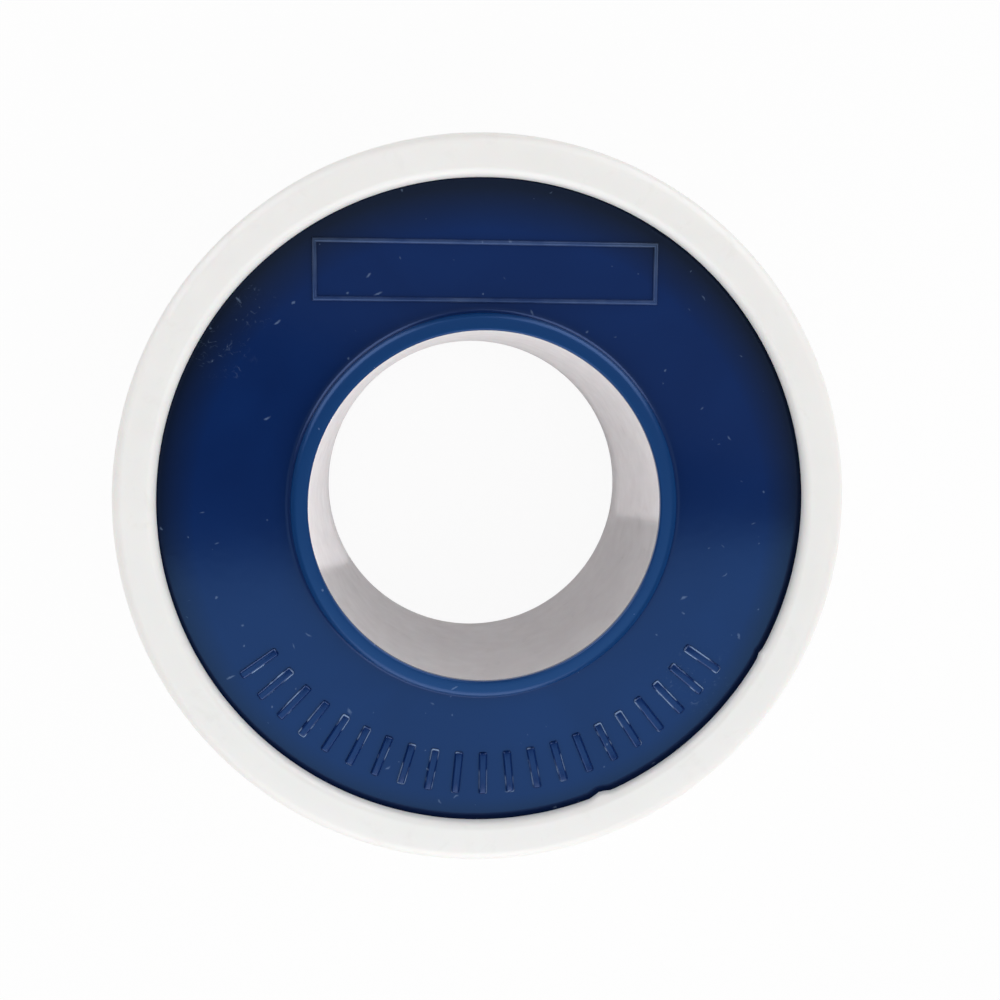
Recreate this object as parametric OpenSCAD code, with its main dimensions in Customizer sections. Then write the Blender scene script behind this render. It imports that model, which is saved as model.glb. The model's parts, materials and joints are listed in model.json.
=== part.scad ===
// Roll of thread seal tape, lying on its rear face with the bore upright along +Z.
// The tape is wound on a spool that turns on a hub. The cover pushes over them and holds the spool by its flange.

/* [Tape] */
// Width of the tape
tape_w = 12.7; // [9:0.1:20]
// Thickness of the tape
tape_t = 0.075; // [0.05:0.005:0.1]
// Length of tape on the roll
tape_len = 7000; // [3000:500:9000]
// Lift of the loose outer turn at its free end
tape_step = 0.3; // [0.1:0.05:0.6]

/* [Hub] */
// Diameter of the bore's straight rear stretch
bore_d = 23; // [19:0.5:25]
// Height that the straight stretch reaches above the rear face
straight_z = 4; // [2:0.5:8]
// Growth of the bore's radius from there to the front mouth, the mould's draft
draft = 0.5; // [0.2:0.05:0.6]
// Wall of the hub behind the reduced front end, measured at the front mouth
hub_wall = 0.8; // [0.7:0.05:1.2]
// Wall of the hub's reduced front end inside the collar
spigot_wall = 0.45; // [0.4:0.05:0.6]
// Rounding of the bore's rear mouth
bore_round = 0.4; // [0.1:0.05:0.4]
// Clearance of the hub in the spool and in the cover
run_gap = 0.05; // [0.03:0.01:0.1]
// Thickness of the hub's rear flange inside its relief
web_t = 1; // [0.8:0.1:2]
// Depth of the shallow relief in the rear face
rear_relief = 0.3; // [0.2:0.05:0.6]
// Width of the rear ring that the roll rests on
rest_w = 3; // [2:0.1:4]
// Width of the ring round the bore in the rear face
land_w = 2; // [1:0.1:3]
// Rounding of the outer edges of the rear flange and of the cover's skirt
rear_round = 0.3; // [0.1:0.05:0.4]

/* [Spool] */
// Wall of the core that the tape is wound on
core_wall = 0.8; // [0.7:0.05:1.2]
// Width of the collar's front face
collar_w = 1.2; // [1.1:0.05:1.8]
// Thickness of the collar's brim, which covers the hub's front end
brim_t = 0.4; // [0.3:0.05:0.8]
// Rounding of the brim's inner edge
brim_round = 0.15; // [0.05:0.05:0.25]
// Depth of the hub's shoulder, which carries the spool, below the front rim
shoulder_drop = 2; // [1.6:0.1:3]
// Rounding of the collar's outer edge
collar_round = 0.45; // [0.2:0.05:0.6]
// Thickness of the flange
flange_t = 1.5; // [0.8:0.1:2]
// Depth of the flange below the front rim
flange_recess = 1.2; // [1.2:0.1:3]
// Reach of the flange under the cover's front lip
flange_lap = 0.5; // [0.3:0.05:0.8]
// Rounding of the flange's front edge and of the collar's foot
flange_round = 0.3; // [0.1:0.05:0.5]
// Gap between the spool and the hub's rear flange
spool_gap = 0.3; // [0.2:0.05:0.6]

/* [Moulded marks] */
// Height of the raised marks on the flange
mark_h = 0.2; // [0.1:0.05:0.3]
// Height of the bare framed panel
panel_h = 4.2; // [3:0.1:5]
// Space between the panel and the collar
panel_gap = 0.65; // [0.4:0.05:1.2]
// Width of the panel's raised border
panel_border = 0.35; // [0.25:0.05:0.6]
// Least distance of the panel's corners from the rim's opening
panel_margin = 0.6; // [0.5:0.1:1.5]
// Number of plain raised bars along the lower arc
bar_count = 21; // [5:1:31]
// Angle from one bar to the next
bar_pitch = 5.5; // [4:0.5:9]
// Length of a bar across the arc
bar_len = 3; // [2:0.1:4]
// Width of a bar along the arc
bar_w = 0.6; // [0.4:0.1:1.1]
// Distance of the bars from the rim's opening
bar_margin = 1.7; // [1:0.1:2]

/* [Cover] */
// Outer diameter of the roll
cover_d = 50; // [48:0.5:60]
// Width of the flat front rim
rim_w = 2.9; // [2:0.1:3.5]
// Thickness of the front lip
lip_t = 0.8; // [0.6:0.1:1]
// Thickness of the outer wall
cover_wall = 1.3; // [1.2:0.1:1.8]
// Thickness of the wall's skirt, which fits round the hub's rear flange
skirt_wall = 0.8; // [0.6:0.1:0.9]
// Rounding of the front rim's outer edge
rim_round = 0.8; // [0.3:0.1:1.1]
// Rounding of the lip's inner edge
lip_round = 0.6; // [0.2:0.05:0.6]

/* [Hidden] */
$fn = 96;
// Overlap that keeps a cut clear of the face that it opens
over = 0.05;

// Radii, from the bore outwards
bore_r = bore_d / 2;
mouth_r = bore_r + draft;
spigot_r = mouth_r + spigot_wall;
hub_r = mouth_r + hub_wall;
core_bore_r = hub_r + run_gap;
core_r = core_bore_r + core_wall;
collar_r = mouth_r + collar_w;
wound_r = sqrt(pow(core_r, 2) + tape_len * tape_t / PI);
cover_r = cover_d / 2;
opening_r = cover_r - rim_w;
flange_r = opening_r + flange_lap;
cavity_r = cover_r - cover_wall;
skirt_r = cover_r - skirt_wall;
base_r = skirt_r - run_gap;

// Heights, from the rear face upwards
web_z = rear_relief + web_t;
spool_z = web_z + spool_gap;
flange_z = spool_z + tape_w;
face_z = flange_z + flange_t;
roll_w = face_z + flange_recess;
shoulder_z = roll_w - shoulder_drop;
spigot_z = roll_w - brim_t - run_gap;

// Framed panel above the collar, as wide as the opening lets it be
panel_y = collar_r + panel_gap;
panel_top = panel_y + panel_h;
panel_w = 2 * sqrt(pow(opening_r - panel_margin, 2) - pow(panel_top, 2));
bar_r = opening_r - bar_margin - bar_len;

// Sliver between a corner and the arc that rounds it; side_x and side_z point from the corner to the arc's centre
module corner_sliver(x, z, round_r, side_x, side_z) {
    translate([x, z])
        mirror([side_x < 0 ? 1 : 0, 0])
            mirror([0, side_z < 0 ? 1 : 0])
                difference() {
                    translate([-over, -over]) square(round_r + over);
                    translate([round_r, round_r]) circle(r = round_r);
                }
}

// Ring section from one radius and height to another
module section(inner_r, outer_r, low_z, high_z) {
    translate([inner_r, low_z]) square([outer_r - inner_r, high_z - low_z]);
}

// White shell: an outer wall with a front lip over the flange, and a skirt that seats on the hub's rear flange
module cover() {
    color("whitesmoke")
        rotate_extrude()
            difference() {
                union() {
                    section(cavity_r, cover_r, 0, roll_w);
                    section(opening_r, cover_r, roll_w - lip_t, roll_w);
                }
                section(cavity_r - over, skirt_r, -over, web_z);
                corner_sliver(cover_r, roll_w, rim_round, -1, -1);
                corner_sliver(cover_r, 0, rear_round, -1, 1);
                corner_sliver(opening_r, roll_w, lip_round, 1, -1);
            }
}

// White sleeve with a rear flange that closes the roll; its front shoulder carries the spool
module hub() {
    color("ghostwhite")
        rotate_extrude()
            difference() {
                union() {
                    section(bore_r, hub_r, 0, shoulder_z);
                    section(bore_r, spigot_r, 0, spigot_z);
                    section(bore_r, base_r, 0, web_z);
                }
                polygon([
                    [bore_r - over, straight_z],
                    [bore_r, straight_z],
                    [mouth_r, spigot_z],
                    [mouth_r, spigot_z + over],
                    [bore_r - over, spigot_z + over]
                ]);
                section(bore_r + land_w, base_r - rest_w, -over, rear_relief);
                corner_sliver(bore_r, 0, bore_round, 1, 1);
                corner_sliver(base_r, 0, rear_round, -1, 1);
            }
}

// Raised border of the bare panel
module panel_frame() {
    inner = [panel_w - 2 * panel_border, panel_h - 2 * panel_border];
    translate([0, panel_y + panel_h / 2, face_z - over])
        linear_extrude(mark_h + over)
            difference() {
                square([panel_w, panel_h], center = true);
                square(inner, center = true);
            }
}

// Plain raised bars along the lower arc of the flange
module arc_bars() {
    for (i = [0 : bar_count - 1])
        rotate((i - (bar_count - 1) / 2) * bar_pitch - 90)
            translate([bar_r, -bar_w / 2, face_z - over])
                cube([bar_len, bar_w, mark_h + over]);
}

// Blue spool: core, flange with its raised marks, and collar with a brim over the hub's front end
module spool() {
    color("midnightblue")
        union() {
            rotate_extrude()
                difference() {
                    union() {
                        section(core_bore_r, core_r, spool_z, face_z);
                        section(core_bore_r, flange_r, flange_z, face_z);
                        section(spigot_r + run_gap, collar_r, shoulder_z, roll_w);
                        section(mouth_r, collar_r, roll_w - brim_t, roll_w);
                        corner_sliver(collar_r, face_z, flange_round, 1, 1);
                    }
                    corner_sliver(collar_r, roll_w, collar_round, -1, -1);
                    corner_sliver(mouth_r, roll_w, brim_round, 1, -1);
                    corner_sliver(flange_r, face_z, flange_round, -1, -1);
                }
            panel_frame();
            arc_bars();
        }
}

// Half of a round slab, on the side of the X axis that side_y points to
module half_slab(slab_r, centre_x, side_y) {
    intersection() {
        translate([centre_x, 0]) circle(r = slab_r);
        translate([-cover_r, side_y < 0 ? -cover_r : 0]) square([2 * cover_r, cover_r]);
    }
}

// White film wound on the core: the outer turn ends in a small step
module tape() {
    color("white")
        translate([0, 0, spool_z])
            linear_extrude(tape_w)
                difference() {
                    union() {
                        half_slab(wound_r, 0, 1);
                        half_slab(wound_r + tape_step / 2, tape_step / 2, -1);
                    }
                    circle(r = core_r);
                }
}

cover();
hub();
spool();
tape();
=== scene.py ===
import json
import math

import bmesh
import bpy
from mathutils import Matrix, Vector


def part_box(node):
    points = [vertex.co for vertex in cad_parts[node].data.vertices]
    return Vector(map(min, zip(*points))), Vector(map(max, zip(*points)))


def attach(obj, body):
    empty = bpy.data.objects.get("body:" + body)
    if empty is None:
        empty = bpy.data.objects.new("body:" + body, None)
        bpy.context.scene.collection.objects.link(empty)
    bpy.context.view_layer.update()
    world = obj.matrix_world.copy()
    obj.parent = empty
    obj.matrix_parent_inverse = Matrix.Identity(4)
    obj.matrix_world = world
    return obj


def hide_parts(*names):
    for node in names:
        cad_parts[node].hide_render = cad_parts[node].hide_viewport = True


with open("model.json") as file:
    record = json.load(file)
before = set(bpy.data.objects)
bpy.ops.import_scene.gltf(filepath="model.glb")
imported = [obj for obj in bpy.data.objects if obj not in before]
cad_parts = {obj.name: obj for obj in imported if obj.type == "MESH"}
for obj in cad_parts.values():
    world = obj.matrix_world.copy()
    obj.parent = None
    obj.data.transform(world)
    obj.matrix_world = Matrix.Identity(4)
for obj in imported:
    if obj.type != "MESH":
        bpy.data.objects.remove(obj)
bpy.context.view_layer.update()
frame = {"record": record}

# Hub: the white sleeve through the bore, one polypropylene moulding with a broad flange at the rear.
# Its bore widens to the front by the mould's draft, and a shoulder near the front carries the spool. Ejector
# pins and the gate leave faint round marks on the rear face, and the bore is darkened with painted shade.
mm = 0.001
draft = 0.5 * mm
spigot_wall = 0.45 * mm
hub_wall = 0.8 * mm
shoulder_drop = 2.0 * mm
straight_z = 4.0 * mm
rear_relief = 0.3 * mm
web_t = 1.0 * mm
land_w = 2.0 * mm
rest_w = 3.0 * mm
bore_round = 0.4 * mm
rear_round = 0.3 * mm
edge_round = 0.1 * mm
seat_round = 0.05 * mm
bore_r = next(m["dims"]["r_mm"] * mm for m in frame["record"]["mounts"] if m["name"] == "bore")
mouth_r = bore_r + draft
spigot_r = mouth_r + spigot_wall
hub_r = mouth_r + hub_wall
base_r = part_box("hub")[1].x
land_r = bore_r + land_w
rest_r = base_r - rest_w
hub_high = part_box("hub")[1].z
roll_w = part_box("cover")[1].z
shoulder_z = roll_w - shoulder_drop
web_z = rear_relief + web_t
hub_outline = [
    (bore_r, 0, bore_round),
    (land_r, 0, edge_round),
    (land_r, rear_relief, edge_round),
    (rest_r, rear_relief, edge_round),
    (rest_r, 0, edge_round),
    (base_r, 0, rear_round),
    (base_r, web_z, seat_round),
    (hub_r, web_z, 0),
    (hub_r, shoulder_z, edge_round),
    (spigot_r, shoulder_z, 0),
    (spigot_r, hub_high, 0),
    (mouth_r, hub_high, 0),
    (bore_r, straight_z, 0),
]


def turned(outline, turn_steps=360, arc_steps=6, weld=0.001 * mm):
    """A ring spun about Z from a closed outline of (radius, height, corner rounding)."""
    ring = bmesh.new()
    corners = [ring.verts.new((r, 0, z)) for r, z, rounding in outline]
    ring.faces.new(corners)
    for corner, (r, z, rounding) in zip(corners, outline):
        if rounding:
            bmesh.ops.bevel(
                ring, geom=[corner], offset=rounding, offset_type="OFFSET", affect="VERTICES",
                segments=arc_steps, profile=0.5, material=-1,
            )
    bmesh.ops.delete(ring, geom=ring.faces[:], context="FACES_ONLY")
    bmesh.ops.spin(
        ring, geom=ring.verts[:] + ring.edges[:], cent=(0, 0, 0), axis=(0, 0, 1),
        angle=math.tau, steps=turn_steps, use_merge=True,
    )
    bmesh.ops.remove_doubles(ring, verts=ring.verts[:], dist=weld)
    bmesh.ops.recalc_face_normals(ring, faces=ring.faces[:])
    return ring


def combined(shape, tool, operation):
    """The first shape after a Boolean with the second; both are used up."""
    holders = []
    for part in (shape, tool):
        mesh = bpy.data.meshes.new("boolean part")
        part.to_mesh(mesh)
        part.free()
        holders.append(bpy.data.objects.new("boolean part", mesh))
        bpy.context.scene.collection.objects.link(holders[-1])
    boolean = holders[0].modifiers.new("boolean", "BOOLEAN")
    boolean.operation = operation
    boolean.object = holders[1]
    boolean.solver = "EXACT"
    result = bmesh.new()
    result.from_object(holders[0], bpy.context.evaluated_depsgraph_get())
    for holder in holders:
        mesh = holder.data
        bpy.data.objects.remove(holder)
        bpy.data.meshes.remove(mesh)
    return result


def finished(name, shape, material, node, body, crease=math.radians(40)):
    """The shape as an object that stands for a CAD node and rides on its body, smooth but for its creases."""
    mesh = bpy.data.meshes.new(name)
    shape.to_mesh(mesh)
    shape.free()
    mesh.shade_smooth()
    mesh.set_sharp_from_angle(angle=crease)
    mesh.materials.append(material)
    piece = bpy.data.objects.new(name, mesh)
    bpy.context.scene.collection.objects.link(piece)
    weights = piece.modifiers.new("flat faces stay flat", "WEIGHTED_NORMAL")
    weights.keep_sharp = True
    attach(piece, body)
    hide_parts(node)
    return piece


def linear(hex_colour):
    """An sRGB hex colour as linear RGBA."""
    parts = [int(hex_colour[i : i + 2], 16) / 255 for i in (1, 3, 5)]
    return [c / 12.92 if c <= 0.04045 else ((c + 0.055) / 1.055) ** 2.4 for c in parts] + [1.0]


def add_node(tree, kind, inputs=None, **settings):
    """A new node with its settings, and with each input set to a value or linked to another node's output."""
    node = tree.nodes.new(kind)
    for key, value in settings.items():
        setattr(node, key, value)
    for key, value in (inputs or {}).items():
        if isinstance(value, bpy.types.NodeSocket):
            tree.links.new(value, node.inputs[key])
        else:
            node.inputs[key].default_value = value
    return node


def empty_material(name):
    """A new material whose node tree holds nothing yet."""
    material = bpy.data.materials.new(name)
    material.use_nodes = True
    material.node_tree.nodes.clear()
    return material


def axis_distance(tree, place, middle=(0, 0, 0)):
    """The distance of each point from an upright line through the middle."""
    level = add_node(tree, "ShaderNodeVectorMath", {0: place, 1: (1, 1, 0)}, operation="MULTIPLY")
    away = add_node(
        tree, "ShaderNodeVectorMath", {0: level.outputs["Vector"], 1: middle}, operation="DISTANCE"
    )
    return away.outputs["Value"]


def white_polypropylene(name, pale, deep, soil, soiling, bore_shade_r=None):
    """Moulded white polypropylene: satin, milky and cloudy in tone, with smudges and a few dark specks.

    Within the given radius of the Z axis, its tone is darkened with painted shade.
    """
    cloud_width = 7 * mm
    smudge_width = 2.2 * mm
    speck_spacing = 3.4 * mm
    patch_width = 1.1 * mm
    grain_width = 0.28 * mm
    grain_depth = 0.01 * mm
    glow_depth = 0.8 * mm
    material = empty_material(name)
    tree = material.node_tree
    place = add_node(tree, "ShaderNodeTexCoord").outputs["Object"]
    cloud = add_node(tree, "ShaderNodeTexNoise", {"Vector": place, "Scale": 1 / cloud_width, "Detail": 3.0})
    tone = add_node(
        tree, "ShaderNodeMix",
        {"Factor": cloud.outputs["Fac"], "A": linear(deep), "B": linear(pale)}, data_type="RGBA",
    )
    # Painted shade: inside the bore the tone is darkened, standing in for the shade there.
    if bore_shade_r:
        bore_shade = add_node(
            tree, "ShaderNodeMath", {0: axis_distance(tree, place), 1: bore_shade_r}, operation="LESS_THAN"
        )
        tone = add_node(
            tree, "ShaderNodeMix",
            {"Factor": bore_shade.outputs["Value"], "A": tone.outputs["Result"], "B": linear("#D0CFD0")},
            data_type="RGBA", blend_type="MULTIPLY",
        )
    smear = add_node(
        tree, "ShaderNodeTexNoise",
        {"Vector": place, "Scale": 1 / smudge_width, "Detail": 5.0, "Roughness": 0.65, "Distortion": 0.6},
    )
    smudge = add_node(
        tree, "ShaderNodeMapRange",
        {"Value": smear.outputs["Fac"], "From Min": 0.58, "From Max": 0.78, "To Max": soiling},
    )
    cell = add_node(tree, "ShaderNodeTexVoronoi", {"Vector": place, "Scale": 1 / speck_spacing})
    chance = add_node(tree, "ShaderNodeSeparateColor", {"Color": cell.outputs["Color"]})
    speck_size = add_node(
        tree, "ShaderNodeMapRange",
        {"Value": chance.outputs["Red"], "From Min": 0.72, "To Min": 0.0, "To Max": 0.035},
    )
    speck = add_node(
        tree, "ShaderNodeMath",
        {0: cell.outputs["Distance"], 1: speck_size.outputs["Result"]}, operation="LESS_THAN",
    )
    speck_share = add_node(
        tree, "ShaderNodeMath", {0: speck.outputs["Value"], 1: 2 * soiling}, operation="MULTIPLY"
    )
    soil_share = add_node(
        tree, "ShaderNodeMath",
        {0: smudge.outputs["Result"], 1: speck_share.outputs["Value"]}, operation="MAXIMUM",
    )
    soiled = add_node(
        tree, "ShaderNodeMix",
        {"Factor": soil_share.outputs["Value"], "A": tone.outputs["Result"], "B": linear(soil)},
        data_type="RGBA",
    )
    patch = add_node(tree, "ShaderNodeTexNoise", {"Vector": place, "Scale": 1 / patch_width, "Detail": 4.0})
    satin = add_node(
        tree, "ShaderNodeMapRange",
        {"Value": patch.outputs["Fac"], "From Min": 0.3, "From Max": 0.7, "To Min": 0.36, "To Max": 0.52},
    )
    grain = add_node(tree, "ShaderNodeTexNoise", {"Vector": place, "Scale": 1 / grain_width, "Detail": 3.0})
    relief = add_node(
        tree, "ShaderNodeBump", {"Height": grain.outputs["Fac"], "Strength": 0.25, "Distance": grain_depth}
    )
    shader = add_node(
        tree, "ShaderNodeBsdfPrincipled",
        {
            "Base Color": soiled.outputs["Result"], "Roughness": satin.outputs["Result"], "IOR": 1.49,
            "Normal": relief.outputs["Normal"], "Subsurface Weight": 0.12, "Subsurface Scale": glow_depth,
        },
    )
    add_node(tree, "ShaderNodeOutputMaterial", {"Surface": shader.outputs["BSDF"]})
    return material


# The ejector pins stand on the relief, and the plastic came in at the gate between two of them.
pin_r = 1.6 * mm
pin_depth = 0.05 * mm
pin_ring_r = 0.5 * (land_r + rest_r)
pin_marks = bmesh.new()
for quarter in range(4):
    pin = bmesh.ops.create_cone(
        pin_marks, cap_ends=True, segments=48, radius1=pin_r, radius2=pin_r, depth=2 * pin_depth
    )
    pin_angle = math.radians(45 + 90 * quarter)
    pin_place = Vector((pin_ring_r * math.cos(pin_angle), pin_ring_r * math.sin(pin_angle), rear_relief))
    bmesh.ops.translate(pin_marks, verts=pin["verts"], vec=pin_place)
hub_shape = combined(turned(hub_outline), pin_marks, "DIFFERENCE")
gate_r = 0.7 * mm
gate_tip_r = 0.7 * gate_r
gate_height = 0.15 * mm
gate = bmesh.new()
bmesh.ops.create_cone(
    gate, cap_ends=True, segments=32, radius1=gate_tip_r, radius2=gate_r, depth=2 * gate_height
)
bmesh.ops.translate(gate, verts=gate.verts[:], vec=(0, -pin_ring_r, rear_relief))
hub_shape = combined(hub_shape, gate, "UNION")
# The hub's bore gets painted shade inside this radius.
just_past_bore = mouth_r + 0.02 * mm
hub_white = white_polypropylene(
    "polypropylene white satin sleeve",
    pale="#F0ECEC", deep="#E4DFE0", soil="#8E8785", soiling=0.25, bore_shade_r=just_past_bore,
)
hub_piece = finished("hub_sleeve", hub_shape, hub_white, "hub", "hub")

# Spool: one glossy blue polypropylene moulding, a core with a flange and a collar at the front.
# It turns on the hub and carries the tape. Its flange reaches under the cover's lip, its collar covers the
# hub's front end, and a bare framed panel and an arc of plain bars stand out a little from it.
run_gap = 0.05 * mm
core_wall = 0.8 * mm
collar_w = 1.2 * mm
brim_t = 0.4 * mm
flange_t = 1.5 * mm
flange_recess = 1.2 * mm
flange_round = 0.3 * mm
flange_back_round = 0.2 * mm
collar_round = 0.45 * mm
brim_round = 0.15 * mm
core_bore_r = hub_r + run_gap
core_r = core_bore_r + core_wall
spigot_seat_r = spigot_r + run_gap
collar_r = mouth_r + collar_w
flange_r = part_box("spool")[1].x
spool_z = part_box("spool")[0].z
face_z = roll_w - flange_recess
flange_z = face_z - flange_t
brim_z = roll_w - brim_t
spool_outline = [
    (core_bore_r, spool_z, edge_round),
    (core_r, spool_z, edge_round),
    (core_r, flange_z, 0),
    (flange_r, flange_z, flange_back_round),
    (flange_r, face_z, flange_round),
    (collar_r, face_z, flange_round),
    (collar_r, roll_w, collar_round),
    (mouth_r, roll_w, brim_round),
    (mouth_r, brim_z, 0),
    (spigot_seat_r, brim_z, 0),
    (spigot_seat_r, shoulder_z, 0),
    (core_bore_r, shoulder_z, 0),
]

# The raised marks are drawn flat, raised together, and rounded along the upper edges as a polished mould
# leaves them.
rim_w = 2.9 * mm
opening_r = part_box("cover")[1].x - rim_w
mark_h = 0.2 * mm
mark_root = 0.1 * mm
mark_round = 0.15 * mm
panel_h = 4.2 * mm
panel_gap = 0.65 * mm
panel_margin = 0.6 * mm
panel_border = 0.35 * mm
panel_low = collar_r + panel_gap
panel_w = 2 * math.sqrt((opening_r - panel_margin) ** 2 - (panel_low + panel_h) ** 2)
marks = bmesh.new()
bmesh.ops.create_grid(marks, x_segments=1, y_segments=1, size=0.5)
bmesh.ops.scale(marks, verts=marks.verts[:], vec=(panel_w, panel_h, 1))
bmesh.ops.translate(marks, verts=marks.verts[:], vec=(0, panel_low + panel_h / 2, face_z - mark_root))
panel_inside = marks.faces[:]
bmesh.ops.inset_region(
    marks, faces=panel_inside, thickness=panel_border, use_even_offset=True, use_boundary=True
)
bmesh.ops.delete(marks, geom=panel_inside, context="FACES")
bar_count = 21
bar_pitch = math.radians(5.5)
bar_len = 3.0 * mm
bar_w = 0.6 * mm
bar_corner = 0.15 * mm
bar_margin = 1.7 * mm
bar_middle_r = opening_r - bar_margin - bar_len / 2
for i in range(bar_count):
    bar = bmesh.ops.create_grid(marks, x_segments=1, y_segments=1, size=0.5)["verts"]
    bmesh.ops.scale(marks, verts=bar, vec=(bar_len, bar_w, 1))
    bmesh.ops.translate(marks, verts=bar, vec=(bar_middle_r, 0, face_z - mark_root))
    bar_angle = (i - (bar_count - 1) / 2) * bar_pitch - math.pi / 2
    bmesh.ops.rotate(marks, verts=bar, cent=(0, 0, 0), matrix=Matrix.Rotation(bar_angle, 3, "Z"))
    bmesh.ops.bevel(
        marks, geom=bar, offset=bar_corner, offset_type="OFFSET", affect="VERTICES",
        segments=4, profile=0.5, material=-1,
    )
top = bmesh.ops.extrude_face_region(marks, geom=marks.faces[:], use_keep_orig=True)["geom"]
bmesh.ops.translate(
    marks, verts=[g for g in top if isinstance(g, bmesh.types.BMVert)], vec=(0, 0, mark_root + mark_h)
)
bmesh.ops.recalc_face_normals(marks, faces=marks.faces[:])
top_faces = {g for g in top if isinstance(g, bmesh.types.BMFace)}
top_rims = [
    g for g in top
    if isinstance(g, bmesh.types.BMEdge) and sum(face in top_faces for face in g.link_faces) == 1
]
bmesh.ops.bevel(
    marks, geom=top_rims, offset=mark_round, offset_type="OFFSET", affect="EDGES",
    segments=4, profile=0.5, material=-1,
)
spool_shape = combined(turned(spool_outline), marks, "UNION")


def moulded_blue(tree, place):
    """The moulding's colour: cloudy where the melt flowed, with painted light on the collar and painted shade
    along the lip.
    """
    flow_width = 9 * mm
    flow = add_node(
        tree, "ShaderNodeTexNoise",
        {"Vector": place, "Scale": 1 / flow_width, "Detail": 2.0, "Distortion": 0.8},
    )
    blue = add_node(
        tree, "ShaderNodeMix",
        {"Factor": flow.outputs["Fac"], "A": linear("#0A2151"), "B": linear("#0D2A60")}, data_type="RGBA",
    )
    # Painted light: the collar is thin with white behind it, so light comes back through it, and its blue is
    # painted clearer towards its top.
    thin_from = face_z + 0.4 * mm
    thin_to = roll_w - 0.2 * mm
    along = add_node(tree, "ShaderNodeSeparateXYZ", {"Vector": place})
    thin = add_node(
        tree, "ShaderNodeMapRange",
        {"Value": along.outputs["Z"], "From Min": thin_from, "From Max": thin_to},
    )
    collar_lit_blue = add_node(
        tree, "ShaderNodeMix",
        {"Factor": thin.outputs["Result"], "A": blue.outputs["Result"], "B": linear("#06356A")},
        data_type="RGBA",
    )
    # Painted shade: the disc is darkened along the cover's lip, widest at the top, standing in for the lip's
    # shade.
    shade_middle = (0, -1.0 * mm, 0)
    unshaded_r = opening_r - 2.4 * mm
    deep_shade_r = opening_r + 0.4 * mm
    off_shade_middle = axis_distance(tree, place, shade_middle)
    lip_shade = add_node(
        tree, "ShaderNodeMapRange",
        {"Value": off_shade_middle, "From Min": unshaded_r, "From Max": deep_shade_r, "To Max": 0.85},
    )
    lip_shaded_blue = add_node(
        tree, "ShaderNodeMix",
        {"Factor": lip_shade.outputs["Result"], "A": collar_lit_blue.outputs["Result"], "B": linear("#141A22")},
        data_type="RGBA",
    )
    return lip_shaded_blue.outputs["Result"]


def dust(tree, place):
    """Dust and scratches: one grain in some of the cells, drawn out into dashes in two of the three layers.

    A fine noise bends the cells, so that no grain is quite round or straight. The grains are drawn coarser
    than real dust, so that they show.
    """
    bend_width = 0.6 * mm
    bend_reach = (0.5 * mm, 0.5 * mm, 0.5 * mm)
    bend = add_node(tree, "ShaderNodeTexNoise", {"Vector": place, "Scale": 1 / bend_width, "Detail": 2.0})
    bent = add_node(
        tree, "ShaderNodeVectorMath",
        {0: bend.outputs["Color"], 1: bend_reach, 2: place}, operation="MULTIPLY_ADD",
    )
    layers = []
    for turn, cell_size, share, grain_size, strength in (
        (0.0, (1.8 * mm, 1.8 * mm, 1), 0.22, 0.07, 0.26),
        (0.45, (3.4 * mm, 1.0 * mm, 1), 0.09, 0.11, 0.28),
        (2.2, (3.0 * mm, 0.9 * mm, 1), 0.06, 0.11, 0.22),
    ):
        cells = add_node(
            tree, "ShaderNodeMapping",
            {"Vector": bent.outputs["Vector"], "Rotation": (0, 0, turn), "Scale": cell_size},
            vector_type="TEXTURE",
        )
        cell = add_node(
            tree, "ShaderNodeTexVoronoi",
            {"Vector": cells.outputs["Vector"], "Scale": 1.0}, voronoi_dimensions="2D",
        )
        chance = add_node(tree, "ShaderNodeSeparateColor", {"Color": cell.outputs["Color"]})
        size = add_node(
            tree, "ShaderNodeMapRange",
            {"Value": chance.outputs["Red"], "From Min": 1 - share, "To Min": 0.0, "To Max": grain_size},
        )
        near = add_node(
            tree, "ShaderNodeMath",
            {0: size.outputs["Result"], 1: cell.outputs["Distance"]}, operation="SUBTRACT",
        )
        grain = add_node(
            tree, "ShaderNodeMapRange",
            {
                "Value": near.outputs["Value"], "From Min": 0.0, "From Max": 0.6 * grain_size,
                "To Max": strength,
            },
        )
        layers.append(grain.outputs["Result"])
    return layers


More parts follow.
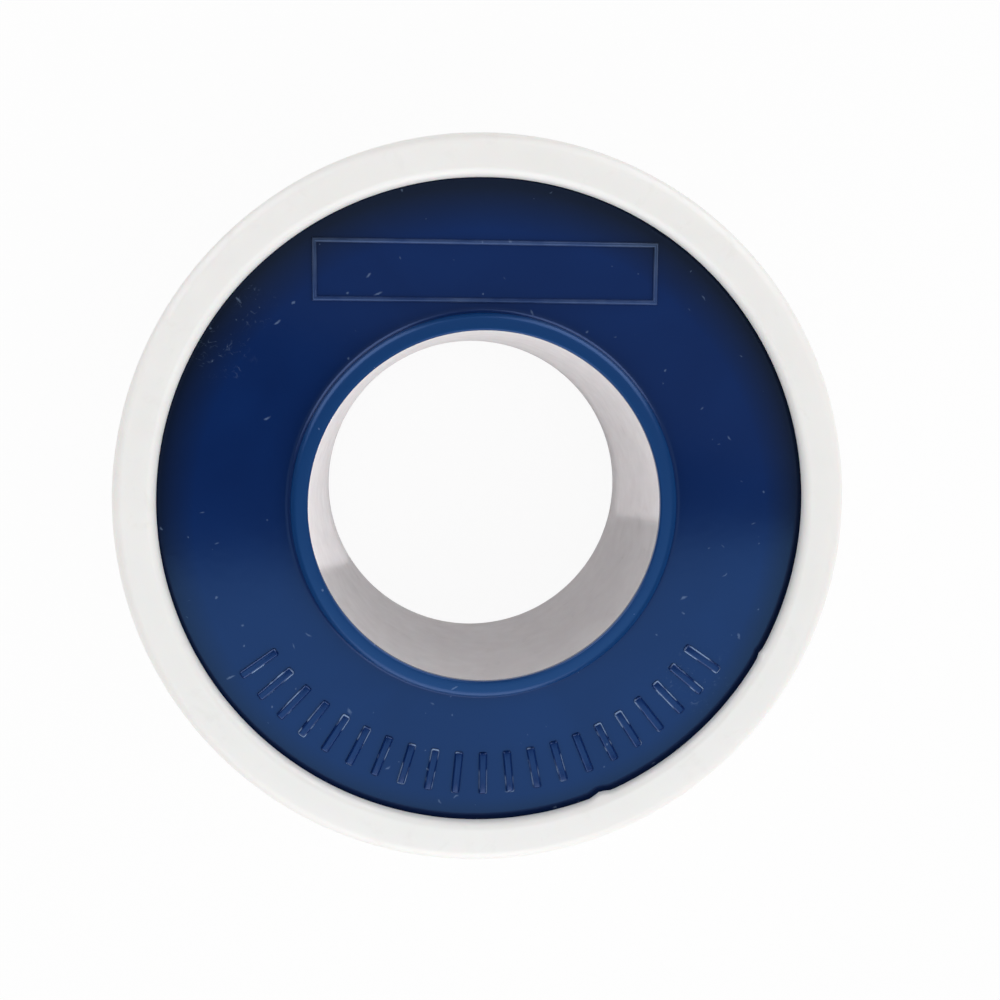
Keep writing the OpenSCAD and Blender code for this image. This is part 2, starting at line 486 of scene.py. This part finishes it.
def painted_mark_glints(tree, coords, off_collar):
    """Painted highlights on the raised marks: a faint pale sheen on the panel's border, and pale glint dashes
    on the bars' rounded edges.
    """
    raised_from = face_z + 0.04 * mm
    raised_to = face_z + 0.12 * mm
    sheen_width = 2.6 * mm
    glint_width = 1.7 * mm
    place = coords.outputs["Object"]
    along = add_node(tree, "ShaderNodeSeparateXYZ", {"Vector": place})
    raised = add_node(
        tree, "ShaderNodeMapRange",
        {"Value": along.outputs["Z"], "From Min": raised_from, "From Max": raised_to},
    )
    crest = add_node(
        tree, "ShaderNodeMath", {0: raised.outputs["Result"], 1: off_collar}, operation="MULTIPLY"
    )
    # Painted sheen: the panel's border is tinted pale, standing in for light on it.
    sheen_noise = add_node(tree, "ShaderNodeTexNoise", {"Vector": place, "Scale": 1 / sheen_width, "Detail": 3.0})
    panel_sheen = add_node(
        tree, "ShaderNodeMapRange",
        {"Value": sheen_noise.outputs["Fac"], "From Min": 0.35, "From Max": 0.65, "To Min": 0.04, "To Max": 0.12},
    )
    # Painted glints on the rounded edges of the bars, strongest on the edges that face up or down the disc.
    facing = add_node(tree, "ShaderNodeSeparateXYZ", {"Vector": coords.outputs["Normal"]})
    edge = add_node(
        tree, "ShaderNodeMapRange",
        {"Value": facing.outputs["Z"], "From Min": 0.75, "From Max": 0.95, "To Min": 1.0, "To Max": 0.0},
    )
    slope = add_node(tree, "ShaderNodeMath", {0: facing.outputs["Y"]}, operation="ABSOLUTE")
    glint_strength = add_node(
        tree, "ShaderNodeMapRange", {"Value": slope.outputs["Value"], "To Min": 0.25, "To Max": 1.3}
    )
    glint_noise = add_node(tree, "ShaderNodeTexNoise", {"Vector": place, "Scale": 1 / glint_width, "Detail": 2.0})
    glint_spot = add_node(
        tree, "ShaderNodeMapRange",
        {"Value": glint_noise.outputs["Fac"], "From Min": 0.5, "From Max": 0.58, "To Max": glint_strength.outputs["Result"]},
    )
    edge_glints = add_node(
        tree, "ShaderNodeMath", {0: edge.outputs["Result"], 1: glint_spot.outputs["Result"]}, operation="MULTIPLY"
    )
    on_panel = add_node(tree, "ShaderNodeMath", {0: along.outputs["Y"], 1: 0.0}, operation="GREATER_THAN")
    marks_glint = add_node(
        tree, "ShaderNodeMix",
        {"Factor": on_panel.outputs["Value"], "A": edge_glints.outputs["Value"], "B": panel_sheen.outputs["Result"]},
        data_type="FLOAT",
    )
    raised_glint = add_node(
        tree, "ShaderNodeMath", {0: marks_glint.outputs["Result"], 1: crest.outputs["Value"]}, operation="MULTIPLY"
    )
    return raised_glint.outputs["Value"]


def scuffs(tree, place):
    """Scuffs near the disc's edge, two at the upper left and one at the lower right, where it was knocked."""
    scribble_width = 0.55 * mm
    scribble = add_node(
        tree, "ShaderNodeTexNoise",
        {"Vector": place, "Scale": 1 / scribble_width, "Detail": 4.0, "Roughness": 0.6, "Distortion": 1.5},
    )
    rubbed = add_node(
        tree, "ShaderNodeMapRange",
        {"Value": scribble.outputs["Fac"], "From Min": 0.6, "From Max": 0.75, "To Max": 0.2},
    )
    patches = []
    for scuff_place, scuff_r in (
        ((-17.8 * mm, 10.4 * mm, face_z), 2.6 * mm),
        ((-15.6 * mm, 13.6 * mm, face_z), 1.8 * mm),
        ((14.9 * mm, -12.0 * mm, face_z), 3.2 * mm),
    ):
        away = add_node(tree, "ShaderNodeVectorMath", {0: place, 1: scuff_place}, operation="DISTANCE")
        local = add_node(
            tree, "ShaderNodeMapRange",
            {
                "Value": away.outputs["Value"], "From Min": 0.3 * scuff_r, "From Max": scuff_r,
                "To Min": 1.0, "To Max": 0.0,
            },
        )
        scuff = add_node(
            tree, "ShaderNodeMath",
            {0: local.outputs["Result"], 1: rubbed.outputs["Result"]}, operation="MULTIPLY",
        )
        patches.append(scuff.outputs["Value"])
    return patches


def blue_polypropylene(name):
    """Moulded blue polypropylene: deep, glossy and faintly rippled, pale and dull with dust, wear and painted
    glints.
    """
    collar_foot_r = collar_r + 0.4 * mm
    ripple_width = 0.9 * mm
    ripple_depth = 0.01 * mm
    material = empty_material(name)
    tree = material.node_tree
    coords = add_node(tree, "ShaderNodeTexCoord")
    place = coords.outputs["Object"]
    off_collar = add_node(
        tree, "ShaderNodeMath", {0: axis_distance(tree, place), 1: collar_foot_r}, operation="GREATER_THAN"
    ).outputs["Value"]
    # Dust, scratches and scuffs are real; the pale edges of the raised marks are painted glints.
    pale_wear_and_glints = dust(tree, place) + [painted_mark_glints(tree, coords, off_collar)] + scuffs(tree, place)
    wear_and_glints = pale_wear_and_glints[0]
    for mark in pale_wear_and_glints[1:]:
        wear_and_glints = add_node(tree, "ShaderNodeMath", {0: wear_and_glints, 1: mark}, operation="MAXIMUM").outputs["Value"]
    worn_and_glinting = add_node(
        tree, "ShaderNodeMix",
        {"Factor": wear_and_glints, "A": moulded_blue(tree, place), "B": linear("#96AFD2")}, data_type="RGBA",
    )
    # Fingers have dulled the collar.
    smooth = add_node(tree, "ShaderNodeMapRange", {"Value": off_collar, "To Min": 0.26, "To Max": 0.13})
    gloss = add_node(
        tree, "ShaderNodeMapRange", {"Value": wear_and_glints, "To Min": smooth.outputs["Result"], "To Max": 0.6}
    )
    ripple = add_node(tree, "ShaderNodeTexNoise", {"Vector": place, "Scale": 1 / ripple_width, "Detail": 2.0})
    relief = add_node(
        tree, "ShaderNodeBump", {"Height": ripple.outputs["Fac"], "Strength": 0.3, "Distance": ripple_depth}
    )
    shader = add_node(
        tree, "ShaderNodeBsdfPrincipled",
        {
            "Base Color": worn_and_glinting.outputs["Result"], "Roughness": gloss.outputs["Result"], "IOR": 1.49,
            "Specular Tint": linear("#B0CCFF"), "Normal": relief.outputs["Normal"],
        },
    )
    add_node(tree, "ShaderNodeOutputMaterial", {"Surface": shader.outputs["BSDF"]})
    return material


spool_blue = blue_polypropylene("polypropylene blue gloss")
finished("spool_moulding", spool_shape, spool_blue, "spool", "spool")

# Tape: thin white film of unsintered PTFE, wound tightly on the core between the two flanges.
# One strip runs from the core to the free end. Its turns are drawn thicker than the real 0.075 mm so that
# they show.
tape_low, tape_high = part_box("tape")
tape_turns = 17
tape_steps = 120
film_share = 0.97
film_round = 0.1 * mm
layer = (tape_high.x - core_r) / (tape_turns + 1)
film = film_share * layer
film_edge = bmesh.new()
film_corners = [
    film_edge.verts.new((core_r, 0, tape_low.z)),
    film_edge.verts.new((core_r + film, 0, tape_low.z)),
    film_edge.verts.new((core_r + film, 0, tape_high.z)),
    film_edge.verts.new((core_r, 0, tape_high.z)),
]
film_edge.faces.new(film_corners)
bmesh.ops.bevel(
    film_edge, geom=film_corners, offset=film_round, offset_type="OFFSET", affect="VERTICES",
    segments=2, profile=0.5, material=-1,
)
film_edge.faces.ensure_lookup_table()
film_outline = [(vert.co.x, vert.co.z) for vert in film_edge.faces[0].verts]
film_edge.free()
strip = bmesh.new()
strip_rings = []
for step in range(tape_turns * tape_steps + 1):
    turn_angle = math.tau * step / tape_steps
    across, up = math.cos(turn_angle), math.sin(turn_angle)
    wound = layer * step / tape_steps
    ring = [strip.verts.new(((r + wound) * across, (r + wound) * up, z)) for r, z in film_outline]
    if strip_rings:
        last = strip_rings[-1]
        for i in range(len(ring)):
            strip.faces.new((last[i - 1], last[i], ring[i], ring[i - 1]))
    strip_rings.append(ring)
strip.faces.new(strip_rings[0])
strip.faces.new(strip_rings[-1])
bmesh.ops.recalc_face_normals(strip, faces=strip.faces[:])


def ptfe_film(name):
    """Soft matt film, white and a little see-through, with fine lines from the rolls that drew it."""
    line_length = 9 * mm
    line_width = 0.3 * mm
    slack_width = 4 * mm
    slack_share = 2.5
    relief_depth = 0.03 * mm
    glow_depth = 0.5 * mm
    material = empty_material(name)
    tree = material.node_tree
    place = add_node(tree, "ShaderNodeTexCoord").outputs["Object"]
    drawn = add_node(
        tree, "ShaderNodeMapping",
        {"Vector": place, "Scale": (line_length, line_length, line_width)}, vector_type="TEXTURE",
    )
    lines = add_node(
        tree, "ShaderNodeTexNoise", {"Vector": drawn.outputs["Vector"], "Scale": 1.0, "Detail": 4.0}
    )
    tone = add_node(
        tree, "ShaderNodeMix",
        {"Factor": lines.outputs["Fac"], "A": linear("#E6E6E3"), "B": linear("#F8F8F6")}, data_type="RGBA",
    )
    slack = add_node(tree, "ShaderNodeTexNoise", {"Vector": place, "Scale": 1 / slack_width, "Detail": 2.0})
    height = add_node(
        tree, "ShaderNodeMath",
        {0: slack.outputs["Fac"], 1: slack_share, 2: lines.outputs["Fac"]}, operation="MULTIPLY_ADD",
    )
    relief = add_node(
        tree, "ShaderNodeBump", {"Height": height.outputs["Value"], "Strength": 0.5, "Distance": relief_depth}
    )
    shader = add_node(
        tree, "ShaderNodeBsdfPrincipled",
        {
            "Base Color": tone.outputs["Result"], "Roughness": 0.55, "IOR": 1.36,
            "Normal": relief.outputs["Normal"], "Subsurface Weight": 0.2, "Subsurface Scale": glow_depth,
        },
    )
    add_node(tree, "ShaderNodeOutputMaterial", {"Surface": shader.outputs["BSDF"]})
    return material


finished("tape_winding", strip, ptfe_film("PTFE film soft white"), "tape", "spool")

# Cover: the white outer shell, one polypropylene moulding with a round wall and a flat front lip.
# It pushes over the spool from the front, its lip holds the flange, and its skirt seats on the hub's rear
# flange.
cover_wall = 1.3 * mm
skirt_wall = 0.8 * mm
lip_t = 0.8 * mm
rim_round = 0.8 * mm
lip_round = 0.6 * mm
cavity_round = 0.4 * mm
cover_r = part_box("cover")[1].x
cavity_r = cover_r - cover_wall
skirt_r = cover_r - skirt_wall
lip_z = roll_w - lip_t
cover_outline = [
    (skirt_r, 0, edge_round),
    (cover_r, 0, rear_round),
    (cover_r, roll_w, rim_round),
    (opening_r, roll_w, lip_round),
    (opening_r, lip_z, edge_round),
    (cavity_r, lip_z, cavity_round),
    (cavity_r, web_z, edge_round),
    (skirt_r, web_z, 0),
]


def pushed(shape, reach, angle, half_width, radial):
    """Move a ring's edge in or out over a short arc; reach gives the lowest and highest radius and height."""
    (low_r, low_z), (high_r, high_z) = reach
    for vert in shape.verts:
        r = math.hypot(vert.co.x, vert.co.y)
        if low_r <= r <= high_r and low_z <= vert.co.z <= high_z:
            turn = math.atan2(vert.co.y, vert.co.x) - angle
            off = abs(math.remainder(turn, math.tau)) * r / half_width
            if off < 1:
                swell = 0.5 + 0.5 * math.cos(math.pi * off)
                vert.co += Vector((vert.co.x / r, vert.co.y / r, 0)) * radial * swell


# Flash is a thin web of plastic that the mould squeezed out at the lip's edge, here at two places.
lip_edge = ((opening_r - 0.1 * mm, lip_z), (opening_r + 0.2 * mm, roll_w))
cover_shape = turned(cover_outline)
pushed(cover_shape, lip_edge, angle=math.radians(-67.8), half_width=0.9 * mm, radial=-0.22 * mm)
pushed(cover_shape, lip_edge, angle=math.radians(-28), half_width=0.5 * mm, radial=-0.1 * mm)
cover_white = white_polypropylene(
    "polypropylene white satin shell", pale="#F3F1EF", deep="#ECEBE8", soil="#B9B3AA", soiling=0.12
)
finished("cover_shell", cover_shape, cover_white, "cover", "cover")

# Floor: a plain sheet of matt white paper that the roll lies on.
# It shows white to the eye and in reflections, and still takes a soft shadow.
floor_half = 2.0
white_share = 0.92
floor_shape = bmesh.new()
bmesh.ops.create_grid(floor_shape, x_segments=1, y_segments=1, size=floor_half)
floor_mesh = bpy.data.meshes.new("floor")
floor_shape.to_mesh(floor_mesh)
floor_shape.free()
floor = bpy.data.objects.new("floor", floor_mesh)
bpy.context.scene.collection.objects.link(floor)
paper = empty_material("matt white paper")
paper_tree = paper.node_tree
ray = add_node(paper_tree, "ShaderNodeLightPath")
seen = add_node(
    paper_tree, "ShaderNodeMath",
    {0: ray.outputs["Is Camera Ray"], 1: ray.outputs["Is Glossy Ray"]}, operation="MAXIMUM",
)
seen = add_node(
    paper_tree, "ShaderNodeMath",
    {0: seen.outputs["Value"], 1: ray.outputs["Is Transmission Ray"]}, operation="MAXIMUM",
)
share = add_node(
    paper_tree, "ShaderNodeMath", {0: seen.outputs["Value"], 1: white_share}, operation="MULTIPLY"
)
matt = add_node(paper_tree, "ShaderNodeBsdfDiffuse", {"Color": linear("#F4F4F4")})
glow = add_node(paper_tree, "ShaderNodeEmission", {"Color": linear("#FFFFFF"), "Strength": 1.0})
mixed = add_node(
    paper_tree, "ShaderNodeMixShader",
    {0: share.outputs["Value"], 1: matt.outputs["BSDF"], 2: glow.outputs["Emission"]},
)
add_node(paper_tree, "ShaderNodeOutputMaterial", {"Surface": mixed.outputs["Shader"]})
floor_mesh.materials.append(paper)

# Light: a white tent, even round the horizon and brighter to the front right above it, and soft boxes.
# The tent lights the surfaces, and only the soft boxes are mirrored in the gloss.
horizon_glow = 1.25
front_right = (0.6, -0.8, 0)
world = bpy.data.worlds.new("white tent")
bpy.context.scene.world = world
world.cycles_visibility.glossy = False
world.use_nodes = True
tent = world.node_tree
tent.nodes.clear()
sky = add_node(tent, "ShaderNodeTexCoord").outputs["Generated"]
heading = add_node(tent, "ShaderNodeSeparateXYZ", {"Vector": sky})
ahead = add_node(tent, "ShaderNodeVectorMath", {0: sky, 1: front_right}, operation="DOT_PRODUCT")
lean = add_node(
    tent, "ShaderNodeMapRange",
    {"Value": ahead.outputs["Value"], "From Min": -0.7, "From Max": 0.7, "To Min": 0.5, "To Max": 1.35},
)
rise = add_node(
    tent, "ShaderNodeMapRange", {"Value": heading.outputs["Z"], "From Min": 0.15, "From Max": 0.4}
)
fall = add_node(
    tent, "ShaderNodeMix",
    {"Factor": rise.outputs["Result"], "A": horizon_glow, "B": lean.outputs["Result"]}, data_type="FLOAT",
)
backdrop = add_node(
    tent, "ShaderNodeBackground", {"Color": linear("#FFFFFF"), "Strength": fall.outputs["Result"]}
)
add_node(tent, "ShaderNodeOutputWorld", {"Surface": backdrop.outputs["Background"]})

# Each box has its azimuth and elevation in degrees, its distance from the middle of the front, its width and
# height in metres, its radiance and its colour. The edge of the front box shows as the line across the disc.
soft_boxes = {
    "front soft box": (-87, 70, 0.4, 0.40, 0.149, 1.58, "#BCEAFF"),
    "overhead soft box": (73, 71.6, 0.4, 0.50, 0.25, 0.28, "#FFFFFF"),
    "lower soft box": (-95, 32, 0.45, 0.40, 0.45, 3.0, "#F4F8FF"),
    "upper left soft box": (135, 28, 0.45, 0.36, 0.50, 3.5, "#F4F8FF"),
    "upper right soft box": (50, 28, 0.45, 0.36, 0.50, 3.5, "#F4F8FF"),
}
for name, (azimuth, elevation, distance, wide, tall, radiance, colour) in soft_boxes.items():
    lamp = bpy.data.lights.new(name, "AREA")
    lamp.shape = "RECTANGLE"
    lamp.size, lamp.size_y = wide, tall
    lamp.energy = radiance * math.pi * wide * tall
    lamp.color = linear(colour)[:3]
    out = distance * math.cos(math.radians(elevation))
    reach = Vector((
        out * math.cos(math.radians(azimuth)),
        out * math.sin(math.radians(azimuth)),
        distance * math.sin(math.radians(elevation)),
    ))
    box = bpy.data.objects.new(name, lamp)
    box.location = Vector((0, 0, roll_w)) + reach
    box.rotation_euler = (-reach).to_track_quat("-Z", "Y").to_euler()
    box.visible_camera = False
    box.visible_diffuse = False
    bpy.context.scene.collection.objects.link(box)

# A narrow lamp far above shines down the upper half of the bore's wall, and on the hub alone.
bore_lamp_place = Vector((13 * mm, 0, 1.0))
bore_lamp_aim = Vector((-0.7 * mm, 5 * mm, roll_w))
bore_lamp_r = 0.2 * mm
bore_beam = math.radians(1.63)
bore_watts = 400
bore_light = bpy.data.lights.new("bore lamp", "SPOT")
bore_light.energy = bore_watts
bore_light.spot_size = bore_beam
bore_light.spot_blend = 0.0
bore_light.shadow_soft_size = bore_lamp_r
bore_lamp = bpy.data.objects.new("bore lamp", bore_light)
bore_lamp.location = bore_lamp_place
bore_lamp.rotation_euler = (bore_lamp_aim - bore_lamp_place).to_track_quat("-Z", "Y").to_euler()
bore_lamp.visible_glossy = False
lit_by_bore_lamp = bpy.data.collections.new("lit by bore lamp")
lit_by_bore_lamp.objects.link(hub_piece)
bore_lamp.light_linking.receiver_collection = lit_by_bore_lamp
bpy.context.scene.collection.objects.link(bore_lamp)

# Camera: above the roll and a little to its upper left, close up.
tilt_x = math.radians(6.56)
tilt_y = math.radians(4.67)
roll_in_view = Vector((-0.94 * mm, -0.6 * mm, -85 * mm))
focal_px = 1253
photo_px = 1000
view = bpy.data.cameras.new("camera")
view.sensor_width = 36
view.lens = focal_px / photo_px * view.sensor_width
view.clip_start = 1 * mm
camera = bpy.data.objects.new("camera", view)
tilt = Matrix.Rotation(tilt_y, 4, "Y") @ Matrix.Rotation(tilt_x, 4, "X")
camera.matrix_world = (
    Matrix.Translation((0, 0, roll_w)) @ tilt.inverted() @ Matrix.Translation(-roll_in_view)
)
bpy.context.scene.collection.objects.link(camera)
bpy.context.scene.camera = camera
bpy.context.scene.view_settings.view_transform = "Standard"
